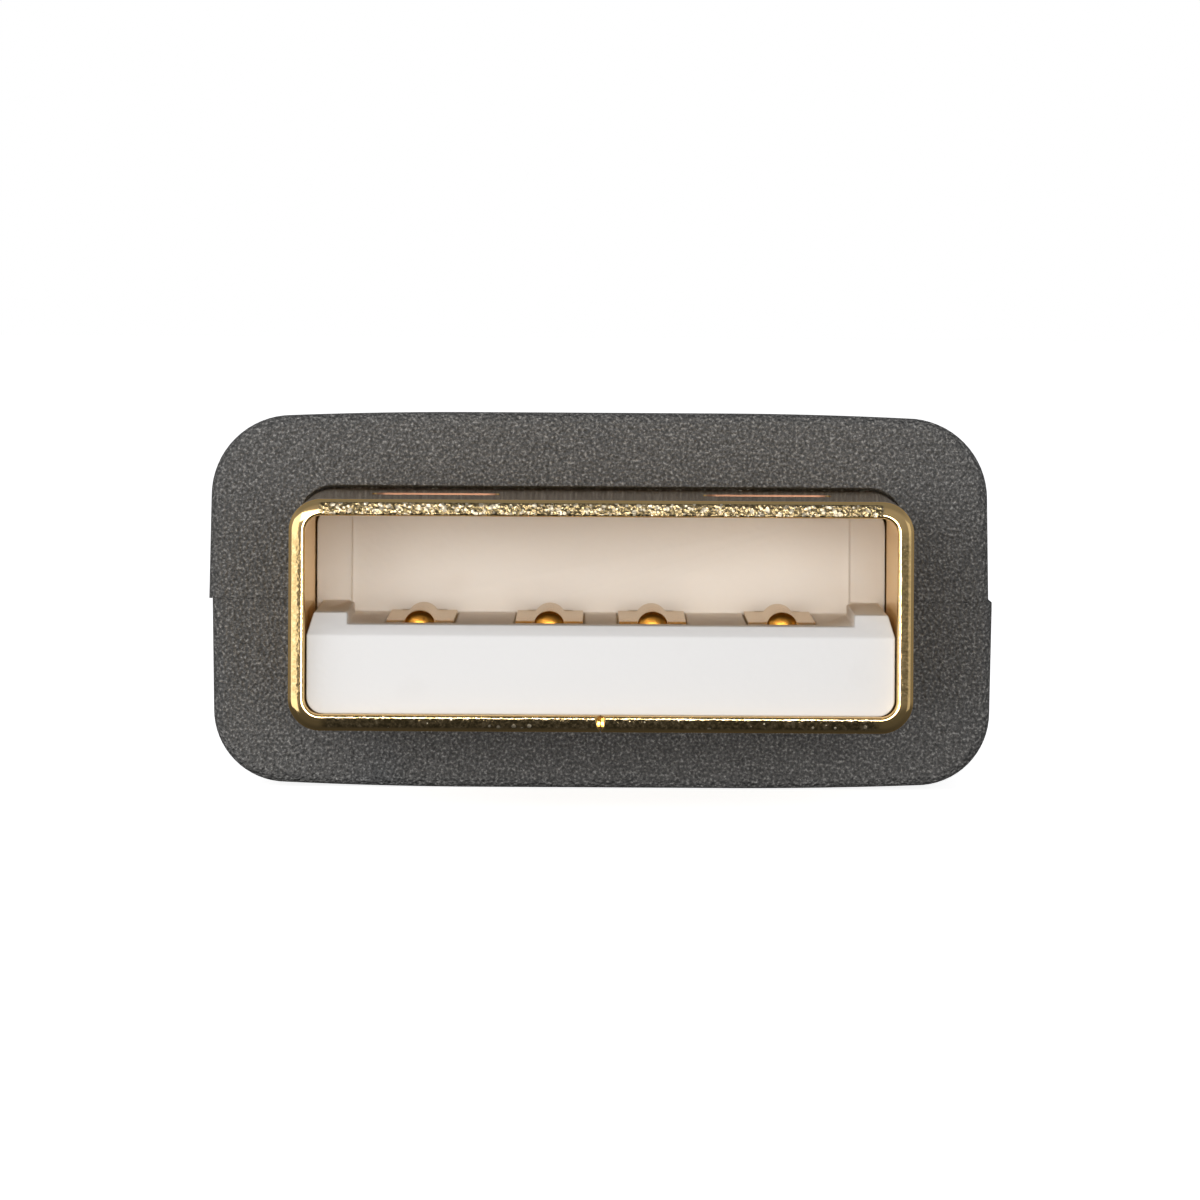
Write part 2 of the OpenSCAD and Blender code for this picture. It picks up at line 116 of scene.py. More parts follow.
def loft(name, rings):
    """Skins rings of points and closes both ends with one face each."""
    rings = np.asarray(rings, float)
    count, n = rings.shape[:2]
    here = np.arange(n)
    there = (here + 1) % n
    faces = [list(range(n))[::-1], [(count - 1) * n + i for i in range(n)]]
    for k in range(count - 1):
        quads = np.stack([k * n + here, k * n + there, (k + 1) * n + there, (k + 1) * n + here], 1)
        faces += quads.tolist()
    mesh = bpy.data.meshes.new(name)
    mesh.from_pydata(rings.reshape(-1, 3).tolist(), [], faces)
    tidy_mesh(mesh)
    return new_object(name, mesh)


# %% Modifiers, applied at once
def settle(piece):
    """Applies the live modifiers, and leaves a plain mesh."""
    graph = bpy.context.evaluated_depsgraph_get()
    graph.update()
    mesh = bpy.data.meshes.new_from_object(piece.evaluated_get(graph))
    old = piece.data
    piece.modifiers.clear()
    piece.data = mesh
    bpy.data.meshes.remove(old)
    return piece


def combine(piece, other, operation):
    """Joins or cuts two closed meshes, and removes the second."""
    change = piece.modifiers.new("combine", "BOOLEAN")
    change.operation, change.solver, change.object = operation, "EXACT", other
    settle(piece)
    bpy.data.objects.remove(other)


def cut(piece, cutter):
    """Takes the cutter's volume out of the piece, and removes the cutter."""
    combine(piece, cutter, "DIFFERENCE")


def join(piece, part):
    """Makes the part and the piece one closed mesh."""
    combine(piece, part, "UNION")


def round_edges(piece, width, segments=3, angle=30):
    """Rounds every edge that turns by more than the angle."""
    ease = piece.modifiers.new("edges", "BEVEL")
    ease.width = width
    ease.segments = segments
    ease.limit_method = "ANGLE"
    ease.angle_limit = math.radians(angle)
    ease.use_clamp_overlap = True
    ease.harden_normals = False
    settle(piece)


def flatten_shading(piece):
    """Lets the large faces rule the shading along their edges, so that a flat wall looks flat."""
    even = piece.modifiers.new("flats", "WEIGHTED_NORMAL")
    even.keep_sharp = True
    even.weight = 100
    settle(piece)


# %% Outlines
def round_rect(w, h, r, steps=8):
    """Points of a rounded rectangle round the origin, anticlockwise."""
    points = []
    for quarter, (sx, sy) in enumerate([(1, 1), (-1, 1), (-1, -1), (1, -1)]):
        for i in range(steps + 1):
            a = math.pi / 2 * (quarter + i / steps)
            points.append((sx * (w / 2 - r) + r * math.cos(a), sy * (h / 2 - r) + r * math.sin(a)))
    return points


def across_ring(points, y, lift=0.0):
    """Stands an outline upright across the plug, at a distance y behind the mouth."""
    return [(x, y, z + lift) for x, z in points]


def flat_ring(points, z):
    """Lays an outline flat, at a height z."""
    return [(x, y, z) for x, y in points]


def prism(name, outline, z0, z1):
    """A flat outline, drawn up from one height to another."""
    return loft(name, [flat_ring(outline, z0), flat_ring(outline, z1)])


def outline_prism(name, outline, y0, y1, lift=0.0):
    """An upright outline, drawn back from one distance to another."""
    return loft(name, [across_ring(outline, y0, lift), across_ring(outline, y1, lift)])


print("points round a window:", len(round_rect(WINDOW["w"], WINDOW["l"], WINDOW["corner"])))

# %% [markdown]
# ## Shared tools for finishes
#
# A material is a tree of nodes joined by wires. These helpers keep the wiring short: what comes out of a node
# is written as a pair, the node and the name of its output, and it may stand wherever a number could.
#
# Noise in several sizes makes nearly every surface here believable: the pits of a spark-eroded mould, the torn
# grain of a sheared edge, the faint waviness of rolled sheet. One node group gives a height for the bump and a
# value for the colour, and each material asks it for its own scale.

# %% Nodes and wires
def node(tree, kind, **settings):
    made = tree.nodes.new(kind)
    for key, value in settings.items():
        setattr(made, key, value)
    return made


def link(tree, a, a_socket, b, b_socket):
    tree.links.new(a.outputs[a_socket], b.inputs[b_socket])


def feed(tree, value, target, socket):
    """Wires a (node, socket) pair to an input, or sets the input to a plain value."""
    if isinstance(value, tuple):
        link(tree, *value, target, socket)
    else:
        target.inputs[socket].default_value = value


def maths(tree, operation, *values):
    """A Math node. Each input is a number or a (node, socket) pair."""
    made = node(tree, "ShaderNodeMath", operation=operation)
    for i, value in enumerate(values):
        feed(tree, value, made, i)
    return (made, 0)


def product(tree, first, *others):
    """Several values multiplied together."""
    for other in others:
        first = maths(tree, "MULTIPLY", first, other)
    return first


def split_xyz(tree, kind, socket):
    """The x, y and z of the vector that a source node gives."""
    source, parts = node(tree, kind), node(tree, "ShaderNodeSeparateXYZ")
    link(tree, source, socket, parts, "Vector")
    return [(parts, axis) for axis in "XYZ"]


# %% Ramps, masks, blends and bumps
def ramp(tree, value, stops):
    """Colours along a value. Each stop is a position and a colour."""
    made = node(tree, "ShaderNodeValToRGB")
    band = made.color_ramp.elements
    for element, (position, colour) in zip(band, (stops[0], stops[-1])):
        element.position, element.color = position, (*colour, 1)
    for position, colour in stops[1:-1]:
        band.new(position).color = (*colour, 1)
    feed(tree, value, made, "Fac")
    return (made, "Color")


def smooth_mask(tree, value, start, end):
    """0 where the value is at start, 1 where it is at end, eased between."""
    made = node(tree, "ShaderNodeMapRange", interpolation_type="SMOOTHSTEP")
    for socket, given in (("From Min", start), ("From Max", end), ("Value", value)):
        feed(tree, given, made, socket)
    return (made, 0)


def blend_colours(tree, share, first, second, blend_type="MIX"):
    """Goes from the first colour to the second. A colour is three numbers, or a pair."""
    made = node(tree, "ShaderNodeMix", data_type="RGBA", blend_type=blend_type)
    feed(tree, share, made, 0)
    for socket, colour in ((6, first), (7, second)):
        feed(tree, colour if len(colour) == 2 else [*colour, 1], made, socket)
    return (made, 2)


def bump(tree, height, strength, distance):
    """Turns a height into a normal. The distance is in metres."""
    made = node(tree, "ShaderNodeBump")
    for socket, value in (("Height", height), ("Strength", strength), ("Distance", distance)):
        feed(tree, value, made, socket)
    return (made, "Normal")


# %% The shared grain
def grain_group():
    """Height and speck of an uneven surface, from Object coordinates in metres."""
    group = bpy.data.node_groups.new("surface_grain", "ShaderNodeTree")
    face = group.interface
    face.new_socket("Vector", in_out="INPUT", socket_type="NodeSocketVector")
    for name in ("Size", "Detail", "Roughness", "Speck From", "Speck To"):
        face.new_socket(name, in_out="INPUT", socket_type="NodeSocketFloat")
    for name in ("Height", "Speck"):
        face.new_socket(name, in_out="OUTPUT", socket_type="NodeSocketFloat")
    given, made = node(group, "NodeGroupInput"), node(group, "NodeGroupOutput")
    pits = node(group, "ShaderNodeTexNoise", noise_dimensions="3D")
    cells = node(group, "ShaderNodeTexVoronoi", feature="F1")
    scale = maths(group, "DIVIDE", 1.0, (given, "Size"))
    for texture in (pits, cells):
        link(group, given, "Vector", texture, "Vector")
        feed(group, scale, texture, "Scale")
    link(group, given, "Detail", pits, "Detail")
    link(group, given, "Roughness", pits, "Roughness")
    feed(group, maths(group, "ADD", (pits, "Fac"), (cells, "Distance")), made, "Height")
    speck = node(group, "ShaderNodeMapRange")
    link(group, given, "Speck From", speck, "From Min")
    link(group, given, "Speck To", speck, "From Max")
    link(group, pits, "Fac", speck, "Value")
    link(group, speck, 0, made, "Speck")
    return group


GRAIN = grain_group()


def grain(tree, size, detail=2.0, roughness=0.5, speck=(0.55, 0.8)):
    """Places the shared grain on Object coordinates. The size is in metres."""
    place = node(tree, "ShaderNodeTexCoord")
    use = node(tree, "ShaderNodeGroup", node_tree=GRAIN)
    link(tree, place, "Object", use, "Vector")
    names = ("Size", "Detail", "Roughness", "Speck From", "Speck To")
    for name, value in zip(names, (size, detail, roughness, *speck)):
        feed(tree, value, use, name)
    return use


print("shared grain gives:", [item.name for item in GRAIN.interface.items_tree if item.in_out == "OUTPUT"])

# %% A shelf for the finishes
FINISH = {}


def new_finish(name, **values):
    """A new material, kept in FINISH. The values go to its shader's inputs."""
    material = bpy.data.materials.new(name)
    material.use_nodes = True
    shader = material.node_tree.nodes["Principled BSDF"]
    for socket, value in values.items():
        shader.inputs[socket.replace("_", " ")].default_value = value
    FINISH[name] = material
    return material.node_tree, shader


# %% [markdown]
# ### Dark grip
#
# The grip is a soft PVC. Its mould was spark-eroded, which leaves fine shallow pits all over. Each pit's rim
# catches a little light. Those paler specks, less than a tenth of a millimetre across, are a painted highlight:
# the colour rises from the dark grey to a pale grey on them.

# %% Grip finish
tree, shader = new_finish("dark_grey_grip", Specular_IOR_Level=0.5)
fine = grain(tree, 0.075 * MM, detail=3.0, roughness=0.6)
grain_and_painted_glints = grain(tree, 0.058 * MM, detail=2.0, roughness=0.6, speck=(0.40, 0.74))
broad = grain(tree, 3.0 * MM, detail=3.0)
# The ramp's darker stops are the grain's own tone; its top stop is the painted highlight on the pits' rims.
colour = ramp(tree, (grain_and_painted_glints, "Speck"), [(0.0, (0.060, 0.061, 0.061)), (0.45, (0.118, 0.118, 0.117)),
                                        (1.0, (0.35, 0.35, 0.345))])
cloud = ramp(tree, (broad, "Height"), [(0.3, (0.90, 0.91, 0.93)), (0.7, (1.06, 1.03, 1.0))])
feed(tree, blend_colours(tree, 1.0, colour, cloud, "MULTIPLY"), shader, "Base Color")
gloss = node(tree, "ShaderNodeMapRange")
gloss.inputs["To Min"].default_value = 0.62
gloss.inputs["To Max"].default_value = 0.40
link(tree, fine, "Speck", gloss, "Value")
link(tree, gloss, 0, shader, "Roughness")
feed(tree, bump(tree, (fine, "Height"), 1.0, 0.06 * MM), shader, "Normal")
print("grip finish, nodes:", len(tree.nodes))

# %% [markdown]
# ### Gold plating and the sheared mouth
#
# The sheet is plated after it is cut and folded. Its rolled faces stay bright, with a faint waviness. The
# mouth's front edge was sheared, and the torn metal under the gold is rough in coarse grains, whose sparkle is
# a painted highlight. A mask finds that face: it looks out of the mouth and lies within a tenth of a millimetre
# of it.

# %% Masks on the mouth
def facing_mouth(tree, start=-0.5, end=-0.8):
    """1 on faces that look out of the mouth."""
    return smooth_mask(tree, split_xyz(tree, "ShaderNodeNewGeometry", "Normal")[1], start, end)


def sheared_zone(tree):
    """How torn the mouth's front face is: most along the top, less on the sides, smooth round the corners."""
    x, y, z = split_xyz(tree, "ShaderNodeTexCoord", "Object")
    front = facing_mouth(tree, -0.72, -0.94)
    near = smooth_mask(tree, y, 0.12 * MM, 0.08 * MM)
    across = smooth_mask(tree, maths(tree, "ABSOLUTE", x), 5.46 * MM, 5.2 * MM)
    upright = smooth_mask(tree, maths(tree, "ABSOLUTE", z), 1.72 * MM, 1.4 * MM)
    straight = maths(tree, "MAXIMUM", across, maths(tree, "MULTIPLY", upright, 0.5))
    top = smooth_mask(tree, z, 1.7 * MM, 2.0 * MM)
    zone = maths(tree, "MULTIPLY", straight, maths(tree, "MULTIPLY_ADD", top, 0.84, 0.16))
    return maths(tree, "MULTIPLY", zone, maths(tree, "MULTIPLY", front, near))


def torn_grains(tree, zone, amount, size, most):
    """Torn grains of one size, for a painted highlight. A Voronoi cell holds one, and the zone decides how many
    cells are used.
    """
    place = node(tree, "ShaderNodeTexCoord")
    cells = node(tree, "ShaderNodeTexVoronoi", feature="F1")
    cells.inputs["Scale"].default_value = 1 / size
    link(tree, place, "Object", cells, "Vector")
    dot = smooth_mask(tree, (cells, "Distance"), 0.40, 0.22)
    pick = node(tree, "ShaderNodeSeparateColor")
    link(tree, cells, "Color", pick, "Color")
    chosen = maths(tree, "GREATER_THAN", (pick, 0), maths(tree, "MULTIPLY_ADD", zone, -most, 1.03))
    return product(tree, dot, chosen, amount, maths(tree, "MULTIPLY_ADD", (pick, 1), 0.6, 0.4))


# %% Gold for the shell: what is torn, what was punched and what was rubbed
GOLD = (0.90, 0.63, 0.28)
RUBBED = (0.96, 0.75, 0.44)
PUNCHED = (0.34, 0.17, 0.10)
PAINTED_SPARKLE_GOLD = (0.98, 0.87, 0.68)

tree, shader = new_finish("gold_plated_shell", Metallic=1.0, Specular_Tint=(0.96, 0.78, 0.52, 1))
zone = sheared_zone(tree)
amount = maths(tree, "MINIMUM", maths(tree, "MULTIPLY", zone, 6.0), 1.0)
grains_with_painted_sparkle = maths(tree, "MAXIMUM", torn_grains(tree, zone, amount, 0.15 * MM, 0.95),
                torn_grains(tree, zone, amount, 0.085 * MM, 0.55))
x, y, z = split_xyz(tree, "ShaderNodeTexCoord", "Object")
punched = maths(tree, "MULTIPLY", facing_mouth(tree), maths(tree, "GREATER_THAN", y, MM))
# The inside was rubbed by the mandrel, so it is duller than the outside.
in_x = maths(tree, "LESS_THAN", maths(tree, "ABSOLUTE", x), shell_w / 2 - 0.9 * SHEET)
in_z = maths(tree, "LESS_THAN", maths(tree, "ABSOLUTE", z), shell_h / 2 - 0.9 * SHEET)
inside = product(tree, in_x, in_z, smooth_mask(tree, y, 0.10 * MM, 0.30 * MM))
print("gold, masks made:", len(tree.nodes), "nodes so far")

# %% Gold for the shell: colour, gloss and bump
torn = grain(tree, 0.07 * MM, detail=3.0, roughness=0.65, speck=(0.40, 0.72))
tone = ramp(tree, (torn, "Speck"), [(0.0, (0.20, 0.15, 0.07)), (0.45, (0.50, 0.37, 0.19)),
                                    (1.0, (0.90, 0.72, 0.46))])
colour = blend_colours(tree, inside, GOLD, RUBBED)
colour = blend_colours(tree, punched, colour, PUNCHED)
colour = blend_colours(tree, amount, colour, tone)
# The torn grains' sparkle is painted: the colour goes to a pale, nearly white gold on them.
colour = blend_colours(tree, grains_with_painted_sparkle, colour, PAINTED_SPARKLE_GOLD)
feed(tree, colour, shader, "Base Color")
gloss = 0.085
for share, more in ((inside, 0.14), (zone, 0.10), (grains_with_painted_sparkle, 0.36), (punched, 0.3)):
    gloss = maths(tree, "MULTIPLY_ADD", share, more, gloss)
feed(tree, gloss, shader, "Roughness")
rough_edge = bump(tree, maths(tree, "MULTIPLY", (torn, "Height"), zone), 0.9, 0.03 * MM)
wave = grain(tree, 0.8 * MM)
rolled = bump(tree, (wave, "Height"), 0.10, 0.02 * MM)
feed(tree, rough_edge, rolled[0], "Normal")
feed(tree, rolled, shader, "Normal")
print("gold for the shell, nodes:", len(tree.nodes))

# %% Gold for the contacts
tree, shader = new_finish("gold_plated_contacts", Metallic=1.0, Specular_Tint=(0.84, 0.74, 0.60, 1))
wave = grain(tree, 0.12 * MM)
tone = ramp(tree, (wave, "Speck"), [(0.0, (0.68, 0.54, 0.36)), (1.0, (0.78, 0.63, 0.44))])
# Faces that look out of the mouth are painted a dark orange brown, a painted dark reflection.
painted_dark_front = ramp(tree, (wave, "Height"), [(0.3, (0.11, 0.045, 0.008)), (0.8, (0.28, 0.12, 0.018))])
front = facing_mouth(tree, -0.25, -0.7)
feed(tree, blend_colours(tree, front, tone, painted_dark_front), shader, "Base Color")
feed(tree, maths(tree, "MULTIPLY_ADD", front, 0.06, 0.22), shader, "Roughness")
feed(tree, bump(tree, (wave, "Height"), 0.10, 0.02 * MM), shader, "Normal")
print("gold for the contacts, nodes:", len(tree.nodes))

# %% [markdown]
# ### White carrier, and the pieces inside the grip
#
# The carrier is a white glass-filled polyester. The moulding shows a faint unevenness rather than a flat white.
# Its front is painted a greyer white, and from half a millimetre in it is painted a brighter, warmer white.
# That
# difference is painted light: it stands in for the warm light that the gold walls bounce onto the inside.

# %% Carrier finish
tree, shader = new_finish("white_insulator", Roughness=0.6)
cloud = (grain(tree, 1.1 * MM, detail=3.0), "Height")
# Painted light: the front is painted greyer, the inside brighter and warmer.
painted_dim_front = ramp(tree, cloud, [(0.25, (0.67, 0.657, 0.644)), (0.8, (0.705, 0.694, 0.684))])
painted_warm_inside = ramp(tree, cloud, [(0.25, (0.90, 0.84, 0.765)), (0.8, (0.93, 0.88, 0.81))])
painted_inside_share = smooth_mask(tree, split_xyz(tree, "ShaderNodeTexCoord", "Object")[1], 0.5 * MM, 1.6 * MM)
feed(tree, blend_colours(tree, painted_inside_share, painted_dim_front, painted_warm_inside), shader, "Base Color")
skin = grain(tree, 0.16 * MM, detail=3.0)
feed(tree, bump(tree, (skin, "Height"), 0.15, 0.02 * MM), shader, "Normal")
print("carrier finish, nodes:", len(tree.nodes))

# %% Shield and inner mould finishes
tree, shader = new_finish("tinned_shield", Metallic=1.0, Roughness=0.38)
drawn = grain(tree, 0.25 * MM, detail=3.0)
tin = ramp(tree, (drawn, "Speck"), [(0.0, (0.50, 0.50, 0.48)), (1.0, (0.66, 0.66, 0.64))])
feed(tree, tin, shader, "Base Color")

tree, shader = new_finish("inner_mould", Roughness=0.5)
cloud = grain(tree, 0.9 * MM, detail=3.0)
ivory = ramp(tree, (cloud, "Height"), [(0.2, (0.62, 0.60, 0.52)), (0.9, (0.70, 0.68, 0.60))])
feed(tree, ivory, shader, "Base Color")
print("finishes:", list(FINISH))


# %% Dress a piece
def dress(piece, slot, *nodes):
    """Gives a finished piece its material and its body, and hides the CAD nodes that it stands for."""
    piece.data.materials.clear()
    piece.data.materials.append(FINISH[slot])
    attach(piece, "root")
    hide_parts(*nodes)
    print(piece.name, "faces:", len(piece.data.polygons), "replaces", nodes)


# %% [markdown]
# ## The shell
#
# The real shell is one strip of sheet, folded round a mandrel until its ends meet under the mouth. A rule makes
# the whole of it: the sheet's section, with its rounded front edge, follows a rounded rectangle. Geometry Nodes
# do just that with Curve to Mesh. The tree works with the mouth lying flat, and turns the tube upright last.

# %% Geometry Nodes: how a tree begins, ends and is used
def geometry_tree(name, *sizes):
    """A tree with a number input for each size, an input for the material and one geometry output."""
    tree = bpy.data.node_groups.new(name, "GeometryNodeTree")
    sockets = tree.interface
    sockets.new_socket("Geometry", in_out="INPUT", socket_type="NodeSocketGeometry")
    for size in sizes:
        sockets.new_socket(size, in_out="INPUT", socket_type="NodeSocketFloat")
    sockets.new_socket("Material", in_out="INPUT", socket_type="NodeSocketMaterial")
    sockets.new_socket("Geometry", in_out="OUTPUT", socket_type="NodeSocketGeometry")
    return tree, node(tree, "NodeGroupInput"), node(tree, "NodeGroupOutput")


def close_tree(tree, given, made, last):
    """Ends a tree: real geometry, with its material."""
    real = node(tree, "GeometryNodeRealizeInstances")
    paint = node(tree, "GeometryNodeSetMaterial")
    link(tree, last, 0, real, "Geometry")
    link(tree, given, "Material", paint, "Material")
    link(tree, real, "Geometry", paint, "Geometry")
    link(tree, paint, "Geometry", made, "Geometry")


def grow(name, tree, **values):
    """Evaluates a Geometry Nodes tree with its named inputs, and leaves a plain mesh."""
    piece = new_object(name, bpy.data.meshes.new(name))
    use = piece.modifiers.new(tree.name, "NODES")
    use.node_group = tree
    ids = {item.name: item.identifier for item in tree.interface.items_tree if item.in_out == "INPUT"}
    for label, value in values.items():
        use[ids[label.replace("_", " ")]] = value
    return settle(piece)


# %% The path, along the middle of the sheet
tree, given, made = geometry_tree("rolled_shell", "Width", "Height", "Length", "Sheet", "Corner",
                                  "Outer Lip", "Inner Lip", "Lean")
half_sheet = maths(tree, "MULTIPLY", (given, "Sheet"), 0.5)
path = node(tree, "GeometryNodeCurvePrimitiveQuadrilateral", mode="RECTANGLE")
for label in ("Width", "Height"):
    feed(tree, maths(tree, "SUBTRACT", (given, label), (given, "Sheet")), path, label)
bend = node(tree, "GeometryNodeFilletCurve", mode="POLY")
bend.inputs["Count"].default_value = 16
feed(tree, maths(tree, "SUBTRACT", (given, "Corner"), half_sheet), bend, "Radius")
link(tree, path, "Curve", bend, "Curve")
print("path made:", len(tree.nodes), "nodes so far")

# %% The section of the sheet, with its two rounded lips
section = node(tree, "GeometryNodeCurvePrimitiveQuadrilateral", mode="RECTANGLE")
link(tree, given, "Sheet", section, "Width")
link(tree, given, "Length", section, "Height")
x, y = split_xyz(tree, "GeometryNodeInputPosition", "Position")[:2]
lip = node(tree, "ShaderNodeMix", data_type="FLOAT")
feed(tree, maths(tree, "GREATER_THAN", x, 0.0), lip, 0)
link(tree, given, "Inner Lip", lip, 2)
link(tree, given, "Outer Lip", lip, 3)
roll = node(tree, "GeometryNodeFilletCurve", mode="POLY")
roll.inputs["Count"].default_value = 6
feed(tree, maths(tree, "MULTIPLY", (lip, 0), maths(tree, "LESS_THAN", y, 0.0)), roll, "Radius")
link(tree, section, "Curve", roll, "Curve")
shift = node(tree, "GeometryNodeTransform")
back = node(tree, "ShaderNodeCombineXYZ")
feed(tree, maths(tree, "MULTIPLY", (given, "Length"), 0.5), back, "Y")
link(tree, back, "Vector", shift, "Translation")
link(tree, roll, "Curve", shift, "Geometry")
print("section made:", len(tree.nodes), "nodes so far")

# %% Lean the cut end back towards the outside, as a shear leaves it, and sweep the section
x, y = split_xyz(tree, "GeometryNodeInputPosition", "Position")[:2]
at_front = maths(tree, "LESS_THAN", y, maths(tree, "MULTIPLY", (given, "Sheet"), 0.9))
offset = node(tree, "ShaderNodeCombineXYZ")
feed(tree, product(tree, maths(tree, "ADD", x, half_sheet), (given, "Lean"), at_front), offset, "Y")
leant = node(tree, "GeometryNodeSetPosition")
link(tree, shift, "Geometry", leant, "Geometry")
link(tree, offset, "Vector", leant, "Offset")
sweep = node(tree, "GeometryNodeCurveToMesh")
link(tree, bend, "Curve", sweep, "Curve")
link(tree, leant, "Geometry", sweep, "Profile Curve")
upright = node(tree, "GeometryNodeTransform")
upright.inputs["Rotation"].default_value = (math.pi / 2, 0, 0)
link(tree, sweep, "Mesh", upright, "Geometry")
merge = node(tree, "GeometryNodeMergeByDistance")
merge.inputs["Distance"].default_value = 1e-7
link(tree, upright, "Geometry", merge, "Geometry")
close_tree(tree, given, made, merge)
print("tree made:", len(tree.nodes), "nodes")

# %% Grow the tube
shell = grow("shell_folded", tree, Width=shell_w, Height=shell_h, Length=shell_l, Sheet=SHEET,
             Corner=SHELL_CORNER, Outer_Lip=LIP_OUTER, Inner_Lip=LIP_INNER, Lean=0.22,
             Material=FINISH["gold_plated_shell"])
tidy_mesh(shell.data)
print("tube, mm:", [round(v / MM, 3) for c in (shell.bound_box[0], shell.bound_box[6]) for v in c])

# %% Outlines of the windows and the seam
def window_outline(side):
    """A window's outline. The shell has one on each side of its middle."""
    centre_y = WINDOW["y"] + WINDOW["l"] / 2
    outline = round_rect(WINDOW["w"], WINDOW["l"], WINDOW["corner"])
    return [(x + side * WINDOW["x"], y + centre_y) for x, y in outline]


def strip(points, widths):
    """Outline of a band along a bent line, with mitred corners. Each point has its own width."""
    p = np.asarray(points, float)
    run = np.diff(p, axis=0)
    run /= np.linalg.norm(run, axis=1)[:, None]
    side = np.stack([-run[:, 1], run[:, 0]], 1)
    first, last = side[:1], side[-1:]
    mitre = side[:-1] + side[1:]
    mitre /= (mitre * side[1:]).sum(1)[:, None]
    out = np.concatenate([first, mitre, last]) * np.asarray(widths)[:, None] / 2
    return np.concatenate([p + out, (p - out)[::-1]]).tolist()


def seam_line():
    """The butt seam under the shell: straight runs joined by two dovetails. It opens round at the mouth."""
    ease, gap = SEAM["ease"], SEAM["gap"]
    points, widths = [(0, -MM)], [gap + 2 * ease]
    for a in np.linspace(0, math.pi / 2, 7):
        points.append((0, ease * math.sin(a)))
        widths.append(gap + 2 * ease * (1 - math.cos(math.pi / 2 - a)))
    root, tip = SEAM["root"] / 2, SEAM["tip"] / 2
    for i in range(2):
        y = SEAM["first"] + i * SEAM["pitch"]
        points += [(0, y - root), (SEAM["reach"], y - tip), (SEAM["reach"], y + tip), (0, y + root)]
    points.append((0, shell_l + MM))
    return points, widths + [gap] * (len(points) - len(widths))


print("points along the seam:", len(seam_line()[0]))

# %% Cut the windows, the seam and the side holes
for side in (-1, 1):
    cut(shell, prism("window", window_outline(side), -shell_h, shell_h))
cut(shell, prism("seam", strip(*seam_line()), -shell_h, 0))
hole = [(sx * shell_w, sy * LATCH["l"] / 2 + LATCH["y"] + LATCH["l"] / 2)
        for sx, sy in ((-1, -1), (1, -1), (1, 1), (-1, 1))]
cut(shell, prism("side_hole", hole, -LATCH["h"] / 2, LATCH["h"] / 2))
tidy_mesh(shell.data)
round_edges(shell, 0.02 * MM, segments=2, angle=40)
tidy_mesh(shell.data)
flatten_shading(shell)
dress(shell, "gold_plated_shell", "shell")

# %% [markdown]
# ## The contacts
#
# Each contact is stamped from thin sheet. A long bead is pressed up along its blade, and that bead is what rubs
# on the socket's springs. The rule of its shape is short: at a distance r from the bead's spine the sheet lies
# on a circle's arc, and beyond the arc it is flat. So a Geometry Nodes grid is raised by that rule, and a
# Solidify modifier gives the sheet its thickness afterwards. At the front the sheet is tucked down into its
# slot, and the bead is coined shut, so a small dome is joined to it there.

# %% Sizes of a contact
BLADE = dict(sheet=0.12 * MM, width=1.3 * MM, front=2.05 * MM, bead_w=0.6 * MM, bead_h=0.2 * MM,
             bead_l=6.2 * MM, tail_w=0.9 * MM, throat=9.95 * MM, tuck=0.055 * MM, tuck_l=0.3 * MM,
             soft=0.02 * MM, barb=0.14 * MM, barb_at=1.73 * MM, barb_l=0.5 * MM)
cavity_y = 9.7 * MM
seat_z = blade_low.z
blade_z = seat_z + BLADE["sheet"]
bead_r = ((BLADE["bead_w"] / 2) ** 2 + BLADE["bead_h"] ** 2) / (2 * BLADE["bead_h"])
print("radius of the bead, mm:", round(bead_r / MM, 3))

# %% Geometry Nodes: the height of the sheet, by the rule
tree, given, made = geometry_tree("beaded_blade", "Width", "Front", "Back", "Level", "Bead Radius",
                                  "Bead Height", "Bead End", "Soft", "Centre", "Tuck", "Tuck Length")
grid = node(tree, "GeometryNodeMeshGrid")
link(tree, given, "Width", grid, "Size X")
feed(tree, maths(tree, "SUBTRACT", (given, "Back"), (given, "Front")), grid, "Size Y")
grid.inputs["Vertices X"].default_value = 41
grid.inputs["Vertices Y"].default_value = 131
middle = product(tree, maths(tree, "ADD", (given, "Front"), (given, "Back")), 0.5)
flat_x, flat_y = split_xyz(tree, "GeometryNodeInputPosition", "Position")[:2]
y = maths(tree, "ADD", flat_y, middle)
past_end = maths(tree, "MAXIMUM", maths(tree, "SUBTRACT", y, (given, "Bead End")), 0.0)
r2 = maths(tree, "MULTIPLY_ADD", past_end, past_end, product(tree, flat_x, flat_x))
radius2 = product(tree, (given, "Bead Radius"), (given, "Bead Radius"))
arc = maths(tree, "SQRT", maths(tree, "MAXIMUM", maths(tree, "SUBTRACT", radius2, r2), 0.0))
sunk = maths(tree, "SUBTRACT", (given, "Bead Radius"), (given, "Bead Height"))
rise = maths(tree, "SMOOTH_MAX", maths(tree, "SUBTRACT", arc, sunk), 0.0, (given, "Soft"))
print("bead made:", len(tree.nodes), "nodes so far")

